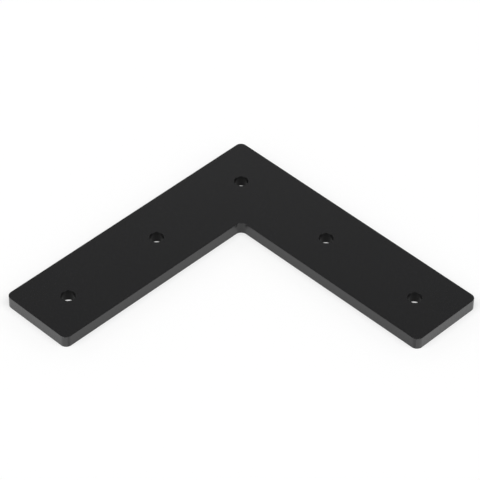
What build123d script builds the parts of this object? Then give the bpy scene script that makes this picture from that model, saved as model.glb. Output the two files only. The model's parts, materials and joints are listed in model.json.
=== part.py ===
from build123d import *
import os

# Flat L-shaped joining plate for 40 mm aluminium extrusion, in one piece.
# It is screwed across a square corner of a frame, with one leg along each extrusion.
# The frame is in millimetres: the origin is on the corner hole's axis at the underside,
# +X and +Y run along the legs' centre lines, and +Z points out of the top face.

# Driving dimensions
leg_width = 40.0  # the full width of the extrusion's face
leg_length = 151.0  # from the outer side of the corner to the end of a leg
thickness = 6.0
hole_diameter = 6.5  # clears an M6 screw
corner_radius = 3.2  # every corner of the outline, the inside one too
rim_chamfer = 0.25  # each hole's rim, on both faces
edge_break = 0.15  # the deburred edge of the outline, on both faces

# Worked out: the end holes stand as far from a leg's end as from its sides
edge_margin = leg_width / 2
hole_pitch = (leg_length - 2 * edge_margin) / 2
hole_centres = [
    (0, 0),
    (hole_pitch, 0),
    (2 * hole_pitch, 0),
    (0, hole_pitch),
    (0, 2 * hole_pitch),
]


# The L that the sheet is cut to: both legs start at the outer corner.
def l_outline():
    with BuildSketch() as outline:
        with Locations((-edge_margin, -edge_margin)):
            Rectangle(leg_length, leg_width, align=Align.MIN)
            Rectangle(leg_width, leg_length, align=Align.MIN)
        fillet(outline.vertices(), corner_radius)
    return outline.sketch


# The sheet cut to the outline and deburred, then drilled, with each rim chamfered.
def joining_plate():
    with BuildPart() as plate:
        add(l_outline())
        extrude(amount=thickness)
        chamfer(plate.faces().filter_by(Axis.Z).edges(), edge_break)
        with Locations(*hole_centres):
            Hole(hole_diameter / 2)
        rims = plate.edges(Select.LAST).filter_by(GeomType.CIRCLE)
        chamfer(rims, rim_chamfer)
    return plate.part


os.makedirs("parts", exist_ok=True)
export_step(joining_plate(), "parts/joining_plate.step")
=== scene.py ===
import json
import math
import bpy
import numpy as np
from mathutils import Matrix, Vector
from mathutils.geometry import delaunay_2d_cdt


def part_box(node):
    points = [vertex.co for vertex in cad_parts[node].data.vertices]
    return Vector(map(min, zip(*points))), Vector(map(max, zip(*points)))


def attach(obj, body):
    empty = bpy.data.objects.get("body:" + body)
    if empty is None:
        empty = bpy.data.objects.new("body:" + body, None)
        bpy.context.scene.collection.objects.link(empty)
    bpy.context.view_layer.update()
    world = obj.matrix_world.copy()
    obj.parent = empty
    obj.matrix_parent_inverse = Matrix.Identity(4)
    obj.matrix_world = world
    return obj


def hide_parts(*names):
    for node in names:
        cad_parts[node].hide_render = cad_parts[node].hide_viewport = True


# A flat L-shaped joining plate in black anodised aluminium, lying on a white floor.
# All lengths are in metres; the plate's own sizes come from the frame.

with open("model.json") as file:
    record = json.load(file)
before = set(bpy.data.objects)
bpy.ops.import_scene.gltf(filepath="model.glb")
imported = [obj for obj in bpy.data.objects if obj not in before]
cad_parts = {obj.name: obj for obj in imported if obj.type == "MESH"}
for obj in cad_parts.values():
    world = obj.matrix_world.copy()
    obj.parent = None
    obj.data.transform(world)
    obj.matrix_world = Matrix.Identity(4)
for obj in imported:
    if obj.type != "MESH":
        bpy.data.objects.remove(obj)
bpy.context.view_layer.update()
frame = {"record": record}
scene = bpy.context.scene


# Nodes are made by type; settings name sockets or properties, and links go into named sockets.
def addNode(tree, kind, settings=None, **properties):
    node = tree.nodes.new(kind)
    for name, value in properties.items():
        setattr(node, name, value)
    for name, value in (settings or {}).items():
        node.inputs[name].default_value = value
    return node


def newMaterial(name):
    material = bpy.data.materials.new(name)
    material.use_nodes = True
    material.node_tree.nodes.clear()
    return material, material.node_tree


# A patch is (points, normals, faces, material slot of each face).
# A strip carried along a path is one: point = path - inset * pathNormal, at the strip's height,
# and normal = out * pathNormal + up * Z. The path closes on itself.
def carryStrip(path, pathNormal, strip, slot):
    inset, height, out, up = strip
    count, steps = len(path), len(inset)
    flat = path[:, None] - inset[None, :, None] * pathNormal[:, None]
    points = np.dstack([flat, np.broadcast_to(height, (count, steps))])
    outward = out[None, :, None] * pathNormal[:, None]
    normals = np.dstack([outward, np.broadcast_to(up, (count, steps))])
    i, j = np.meshgrid(np.arange(count), np.arange(steps - 1), indexing="ij")
    following = (i + 1) % count
    faces = np.stack([i * steps + j, i * steps + j + 1,
                      following * steps + j + 1, following * steps + j], axis=-1)
    slots = np.repeat(np.broadcast_to(slot, count), steps - 1)
    return points.reshape(-1, 3), normals.reshape(-1, 3), faces.reshape(-1, 4), slots


# A flat face between an outer loop and its holes, as triangles of those loops' own points.
def fillFlat(loops, height, up, slot):
    ends = np.cumsum([len(loop) for loop in loops])
    loopPoints = [list(range(end - len(loop), end)) for loop, end in zip(loops, ends)]
    # in millimetres, where mergeDistance is far below the shortest edge
    inMillimetres = (np.concatenate(loops) * 1000).tolist()
    insideWithHoles = 2
    mergeDistance = 1e-5
    filled = delaunay_2d_cdt(inMillimetres, [], loopPoints, insideWithHoles, mergeDistance)
    flat = np.array([tuple(point) for point in filled[0]]) / 1000
    triangles = np.array(filled[2])
    if up < 0:
        triangles = triangles[:, ::-1]
    points = np.column_stack([flat, np.full(len(flat), height)])
    normals = np.broadcast_to([0.0, 0.0, up], points.shape)
    return points, normals, triangles, np.full(len(triangles), slot)


# Patches become one closed mesh: points that meet are welded, and each face corner keeps
# its own patch's normal, so rounds stay smooth and crisp edges stay crisp.
def meshFromPatches(name, patches, materials):
    points = np.concatenate([patch[0] for patch in patches])
    normals = np.concatenate([patch[1] for patch in patches])
    offsets = np.cumsum([0] + [len(patch[0]) for patch in patches[:-1]])
    corners = [patch[2] + offset for patch, offset in zip(patches, offsets)]
    slots = np.concatenate([patch[3] for patch in patches])
    weldDigits = 7
    welded, weld = np.unique(np.round(points, weldDigits), axis=0, return_inverse=True)
    weld = weld.ravel()
    faces = [face for group in corners for face in weld[group].tolist()]
    mesh = bpy.data.meshes.new(name)
    mesh.from_pydata(welded.tolist(), [], faces)
    mesh.polygons.foreach_set("material_index", slots.astype(np.int32))
    mesh.polygons.foreach_set("use_smooth", np.ones(len(faces), bool))
    cornerNormals = np.concatenate([normals[group.ravel()] for group in corners])
    mesh.normals_split_custom_set(cornerNormals.tolist())
    for material in materials:
        mesh.materials.append(material)
    piece = bpy.data.objects.new(name, mesh)
    scene.collection.objects.link(piece)
    return piece


anodising = {
    "ior": 1.65,
    "mottleSize": 0.03,  # across one cloud of slightly lighter or darker dye
    "mottle": 0.08,  # how far the dye's depth varies
}


# The dye's depth, a slow cloud pattern: colour = dye * (1 + mottle * (2 * noise - 1)).
def makeDyeGroup():
    tree = bpy.data.node_groups.new("dyeDepth", "ShaderNodeTree")
    tree.interface.new_socket("Dye", in_out="INPUT", socket_type="NodeSocketColor")
    tree.interface.new_socket("Mottle", in_out="INPUT", socket_type="NodeSocketFloat")
    tree.interface.new_socket("Size", in_out="INPUT", socket_type="NodeSocketFloat")
    tree.interface.new_socket("Colour", in_out="OUTPUT", socket_type="NodeSocketColor")
    given = addNode(tree, "NodeGroupInput")
    result = addNode(tree, "NodeGroupOutput")
    coordinates = addNode(tree, "ShaderNodeTexCoord")
    scale = addNode(tree, "ShaderNodeMath", {0: 1.0}, operation="DIVIDE")
    noise = addNode(tree, "ShaderNodeTexNoise", {"Detail": 3.0, "Roughness": 0.55})
    signed = addNode(tree, "ShaderNodeMapRange", {"To Min": -1.0, "To Max": 1.0})
    depth = addNode(tree, "ShaderNodeMath", {2: 1.0}, operation="MULTIPLY_ADD")
    tinted = addNode(tree, "ShaderNodeVectorMath", operation="SCALE")
    link = tree.links.new
    link(given.outputs["Size"], scale.inputs[1])
    link(coordinates.outputs["Object"], noise.inputs["Vector"])
    link(scale.outputs[0], noise.inputs["Scale"])
    link(noise.outputs["Fac"], signed.inputs["Value"])
    link(signed.outputs[0], depth.inputs[0])
    link(given.outputs["Mottle"], depth.inputs[1])
    link(given.outputs["Dye"], tinted.inputs[0])
    link(depth.outputs[0], tinted.inputs["Scale"])
    link(tinted.outputs[0], result.inputs["Colour"])
    return tree


# Fine marks: noise that is stretched where its scale is small, so it gives grain or lines.
def makeMarksGroup():
    tree = bpy.data.node_groups.new("toolMarks", "ShaderNodeTree")
    tree.interface.new_socket("Scale", in_out="INPUT", socket_type="NodeSocketVector")
    tree.interface.new_socket("Even", in_out="INPUT", socket_type="NodeSocketFloat")
    tree.interface.new_socket("Uneven", in_out="INPUT", socket_type="NodeSocketFloat")
    tree.interface.new_socket("Height", in_out="OUTPUT", socket_type="NodeSocketFloat")
    tree.interface.new_socket("Roughness", in_out="OUTPUT", socket_type="NodeSocketFloat")
    given = addNode(tree, "NodeGroupInput")
    result = addNode(tree, "NodeGroupOutput")
    coordinates = addNode(tree, "ShaderNodeTexCoord")
    stretched = addNode(tree, "ShaderNodeVectorMath", operation="MULTIPLY")
    noise = addNode(tree, "ShaderNodeTexNoise", {"Scale": 1.0, "Detail": 2.0, "Roughness": 0.5})
    roughness = addNode(tree, "ShaderNodeMapRange")
    link = tree.links.new
    link(coordinates.outputs["Object"], stretched.inputs[0])
    link(given.outputs["Scale"], stretched.inputs[1])
    link(stretched.outputs[0], noise.inputs["Vector"])
    link(noise.outputs["Fac"], roughness.inputs["Value"])
    link(given.outputs["Even"], roughness.inputs["To Min"])
    link(given.outputs["Uneven"], roughness.inputs["To Max"])
    link(noise.outputs["Fac"], result.inputs["Height"])
    link(roughness.outputs[0], result.inputs["Roughness"])
    return tree


dyeGroup = makeDyeGroup()
marksGroup = makeMarksGroup()


# One anodised surface in copies that differ in their tool marks, and in dye and gloss where light
# and shade are painted: the ends painted lighter, the sides and bores painted darker.
def makeAnodised(name, finish):
    material, tree = newMaterial(name)
    dye = addNode(tree, "ShaderNodeGroup", node_tree=dyeGroup)
    dye.inputs["Dye"].default_value = finish["dye"]
    dye.inputs["Mottle"].default_value = anodising["mottle"]
    dye.inputs["Size"].default_value = anodising["mottleSize"]
    marks = addNode(tree, "ShaderNodeGroup", node_tree=marksGroup)
    marks.inputs["Scale"].default_value = [1 / size for size in finish["markSize"]]
    marks.inputs["Even"].default_value = finish["smoothest"]
    marks.inputs["Uneven"].default_value = finish["roughest"]
    bump = addNode(tree, "ShaderNodeBump", {"Strength": 1.0, "Distance": finish["markDepth"]})
    surface = addNode(tree, "ShaderNodeBsdfPrincipled", {
        "IOR": anodising["ior"], "Specular IOR Level": finish["gloss"]})
    output = addNode(tree, "ShaderNodeOutputMaterial")
    link = tree.links.new
    link(dye.outputs["Colour"], surface.inputs["Base Color"])
    link(marks.outputs["Roughness"], surface.inputs["Roughness"])
    link(marks.outputs["Height"], bump.inputs["Height"])
    link(bump.outputs["Normal"], surface.inputs["Normal"])
    link(surface.outputs[0], output.inputs["Surface"])
    return material


blastedFace = {
    "dye": (0.0100, 0.0100, 0.0105, 1),
    "markSize": (0.0003, 0.0003, 0.0003),
    "markDepth": 0.000002,
    "smoothest": 0.22,
    "roughest": 0.30,
    "gloss": 0.5,
}
# the sides' copy: gloss lowered below the top's as painted shade on the inner faces; its fine
# lines are real marks
sideFinishPaintedDarker = {
    "dye": (0.0100, 0.0100, 0.0105, 1),
    "markSize": (0.0004, 0.0004, 0.02),  # lines that stand across the side
    "markDepth": 0.000002,
    "smoothest": 0.24,
    "roughest": 0.34,
    "gloss": 0.37,
}
# the ends' copy: dye a little lighter and gloss raised, a painted highlight on the leg ends; its
# coarser lines are real marks
endFinishPaintedLighter = {
    "dye": (0.0105, 0.0105, 0.0110, 1),
    "markSize": (0.0006, 0.0006, 0.02),
    "markDepth": 0.000003,
    "smoothest": 0.22,
    "roughest": 0.34,
    "gloss": 0.56,
}
# the bores' copy: dye and gloss far below the rest, painted shade inside the holes; the rings are
# real marks
boreFinishPaintedDarker = {
    "dye": (0.0040, 0.0040, 0.0042, 1),
    "markSize": (0.01, 0.01, 0.0003),  # rings around the bore
    "markDepth": 0.000004,
    "smoothest": 0.24,
    "roughest": 0.38,
    "gloss": 0.1,
}

finishes = [
    makeAnodised("blastedBlack", blastedFace),
    makeAnodised("sideBlackPaintedDarker", sideFinishPaintedDarker),
    makeAnodised("boreBlackPaintedDarker", boreFinishPaintedDarker),
    makeAnodised("endBlackPaintedLighter", endFinishPaintedLighter),
]
faceSlot, sideSlot, boreSlot, endSlot = range(len(finishes))
print("finishes made")


plate = {
    "cornerRadius": 0.0032,
    "edgeBreak": 0.00015,
    "rimChamfer": 0.00025,
    "cornerSteps": 24,  # in each quarter turn of the outline
    "edgeSteps": 4,  # across the rounded edge
    "holeSteps": 96,
}


# The L's outline, counter-clockwise. Each corner is an arc about its centre c,
# c + turn * radius * (cos a, sin a), where a is the angle of the outward normal
# and turn is -1 at the inside corner.
def outlinePath(start, inner, end, radius, steps):
    corners = np.array([[start, start], [end, start], [end, inner],
                        [inner, inner], [inner, end], [start, end]])
    turn = np.array([1, 1, 1, -1, 1, 1])
    firstAngle = np.radians([180, 270, 0, 90, 0, 90])
    angle = firstAngle[:, None] + turn[:, None] * np.linspace(0, math.pi / 2, steps + 1)
    normal = np.stack([np.cos(angle), np.sin(angle)], axis=-1)
    reach = (turn * radius)[:, None]
    centre = corners - reach * (normal[:, 0] + normal[:, -1])
    path = centre[:, None] + reach[:, None] * normal
    return path.reshape(-1, 2), normal.reshape(-1, 2)


# The side's section from the top face to the underside, with a rounded edge at each:
# inset = e * (1 - sin a), height = thickness - e * (1 - cos a), normal = (sin a, cos a).
def sideStrip(thickness, edge, steps):
    a = np.linspace(0, math.pi / 2, steps + 1)
    inset = edge * (1 - np.sin(a))
    drop = edge * (1 - np.cos(a))
    return (np.concatenate([inset, inset[::-1]]),
            np.concatenate([thickness - drop, drop[::-1]]),
            np.concatenate([np.sin(a), np.sin(a)[::-1]]),
            np.concatenate([np.cos(a), -np.cos(a)[::-1]]))


# The bore's section as three flat strips, top chamfer, wall and bottom chamfer.
# Its path is the wall's circle with normals towards the axis, so insets go into the metal.
def boreStrips(thickness, chamfer):
    slope = math.sqrt(0.5)
    topRim = (np.array([chamfer, 0]), np.array([thickness, thickness - chamfer]))
    wall = (np.array([0, 0]), np.array([thickness - chamfer, chamfer]))
    bottomRim = (np.array([0, chamfer]), np.array([chamfer, 0]))
    return [(*topRim, np.full(2, slope), np.full(2, slope)),
            (*wall, np.ones(2), np.zeros(2)),
            (*bottomRim, np.full(2, slope), np.full(2, -slope))]


def makePlate():
    low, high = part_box("joining_plate")
    bores = [m for m in frame["record"]["mounts"] if m["kind"] == "bore"]
    thickness = high.z - low.z
    edge, chamfer = plate["edgeBreak"], plate["rimChamfer"]
    path, normal = outlinePath(low.x, -low.x, high.x, plate["cornerRadius"], plate["cornerSteps"])
    around = np.linspace(0, 2 * math.pi, plate["holeSteps"], endpoint=False)
    outward = np.stack([np.cos(around), np.sin(around)], axis=-1)
    # a leg's end is the stretch of the outline that reaches the far side of the box
    nearEnd = high.x - plate["cornerRadius"] / 2
    # the leg ends take the copy painted lighter, every other side the copy painted darker
    sideSlots = np.where(path.max(axis=1) > nearEnd, endSlot, sideSlot)
    patches = [carryStrip(path, normal, sideStrip(thickness, edge, plate["edgeSteps"]), sideSlots)]
    loops = [path - edge * normal]
    for bore in bores:
        radius = bore["dims"]["r_mm"] / 1000
        centre = np.array(bore["pos_m"][:2])
        # walked clockwise, so that the faces look towards the axis
        wall = centre + radius * outward[::-1]
        for strip in boreStrips(thickness, chamfer):
            # the bore's strips take the copy with painted shade
            patches.append(carryStrip(wall, -outward[::-1], strip, boreSlot))
        loops.append(wall + chamfer * outward[::-1])
    patches.append(fillFlat(loops, thickness, 1, faceSlot))
    patches.append(fillFlat(loops, 0.0, -1, faceSlot))
    return meshFromPatches("joiningPlate", patches, finishes)


joiningPlate = makePlate()
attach(joiningPlate, "root")
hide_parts("joining_plate")
print("plate made:", len(joiningPlate.data.polygons), "faces")


studio = {
    "floorSize": 12.0,
    "floorGap": 0.00002,  # keeps the floor's face off the plate's
    "floorColour": 0.48,
    "floorLift": 0.55,  # the light it adds of its own, so that it looks white
    "wallLight": 1.0,
    "ceilingLight": 0.06,
    "wallTop": 30.0,  # degrees above the horizon where the pale wall starts to darken
    "ceilingStart": 42.0,
    "lampStrength": 1.2,
    "lampAngle": 40.0,  # how wide each lamp looks, in degrees
    "lampHeight": 57.0,  # degrees above the horizon
    "lampBearings": (-15.0, 105.0),  # where each lamp stands, in degrees from +X towards +Y
}


def makeFloor():
    half = studio["floorSize"] / 2
    height = -studio["floorGap"]
    mesh = bpy.data.meshes.new("floor")
    mesh.from_pydata([(-half, -half, height), (half, -half, height),
                      (half, half, height), (-half, half, height)], [], [(0, 1, 2, 3)])
    floor = bpy.data.objects.new("floor", mesh)
    scene.collection.objects.link(floor)
    material, tree = newMaterial("paleFloor")
    paper = addNode(tree, "ShaderNodeBsdfDiffuse", {"Color": (studio["floorColour"],) * 3 + (1,)})
    rays = addNode(tree, "ShaderNodeLightPath")
    seen = addNode(tree, "ShaderNodeMath", operation="MAXIMUM")
    seenThrough = addNode(tree, "ShaderNodeMath", operation="MAXIMUM")
    strength = addNode(tree, "ShaderNodeMath", {1: studio["floorLift"]}, operation="MULTIPLY")
    lift = addNode(tree, "ShaderNodeEmission")
    both = addNode(tree, "ShaderNodeAddShader")
    output = addNode(tree, "ShaderNodeOutputMaterial")
    link = tree.links.new
    link(rays.outputs["Is Camera Ray"], seen.inputs[0])
    link(rays.outputs["Is Glossy Ray"], seen.inputs[1])
    link(seen.outputs[0], seenThrough.inputs[0])
    link(rays.outputs["Is Transmission Ray"], seenThrough.inputs[1])
    link(seenThrough.outputs[0], strength.inputs[0])
    link(strength.outputs[0], lift.inputs["Strength"])
    link(paper.outputs[0], both.inputs[0])
    link(lift.outputs[0], both.inputs[1])
    link(both.outputs[0], output.inputs["Surface"])
    mesh.materials.append(material)


# The room: a pale wall up to wallTop, fading to a dimmer ceiling at ceilingStart.
def makeRoom():
    world = bpy.data.worlds.new("room")
    scene.world = world
    world.use_nodes = True
    tree = world.node_tree
    tree.nodes.clear()
    direction = addNode(tree, "ShaderNodeTexCoord")
    parts = addNode(tree, "ShaderNodeSeparateXYZ")
    fade = addNode(tree, "ShaderNodeMapRange", {
        "From Min": math.sin(math.radians(studio["wallTop"])),
        "From Max": math.sin(math.radians(studio["ceilingStart"])),
        "To Min": studio["wallLight"],
        "To Max": studio["ceilingLight"],
    }, interpolation_type="SMOOTHSTEP")
    background = addNode(tree, "ShaderNodeBackground")
    output = addNode(tree, "ShaderNodeOutputWorld")
    link = tree.links.new
    link(direction.outputs["Generated"], parts.inputs[0])
    link(parts.outputs["Z"], fade.inputs["Value"])
    link(fade.outputs[0], background.inputs["Strength"])
    link(background.outputs[0], output.inputs["Surface"])


# Two wide soft lamps, one off the end of each leg.
def makeLamps():
    for bearing in studio["lampBearings"]:
        light = bpy.data.lights.new("softLamp", "SUN")
        light.energy = studio["lampStrength"]
        light.angle = math.radians(studio["lampAngle"])
        lamp = bpy.data.objects.new("softLamp", light)
        tilt = math.radians(90 - studio["lampHeight"])
        lamp.rotation_euler = (0, tilt, math.radians(bearing))
        scene.collection.objects.link(lamp)


viewpoint = {
    "azimuth": 134.39,
    "elevation": 42.90,
    "roll": 0.74,
    "distance": 1.3457,
    "aim": (0.0248, 0.0240, 0.0),
    "lens": 216.86,
    "sensor": 36.0,
}


def makeCamera():
    azimuth, elevation = math.radians(viewpoint["azimuth"]), math.radians(viewpoint["elevation"])
    back = Vector((math.sin(azimuth) * math.cos(elevation),
                   -math.cos(azimuth) * math.cos(elevation), math.sin(elevation)))
    level = Vector((0, 0, 1)).cross(back).normalized()
    upright = Matrix((level, back.cross(level), back)).transposed().to_4x4()
    rolled = upright @ Matrix.Rotation(math.radians(viewpoint["roll"]), 4, "Z")
    data = bpy.data.cameras.new("camera")
    data.lens = viewpoint["lens"]
    data.sensor_width = viewpoint["sensor"]
    camera = bpy.data.objects.new("camera", data)
    place = Vector(viewpoint["aim"]) + viewpoint["distance"] * back
    camera.matrix_world = Matrix.Translation(place) @ rolled
    scene.collection.objects.link(camera)
    scene.camera = camera


makeFloor()
makeRoom()
makeLamps()
makeCamera()
scene.view_settings.view_transform = "Standard"
print("floor, light and camera made")
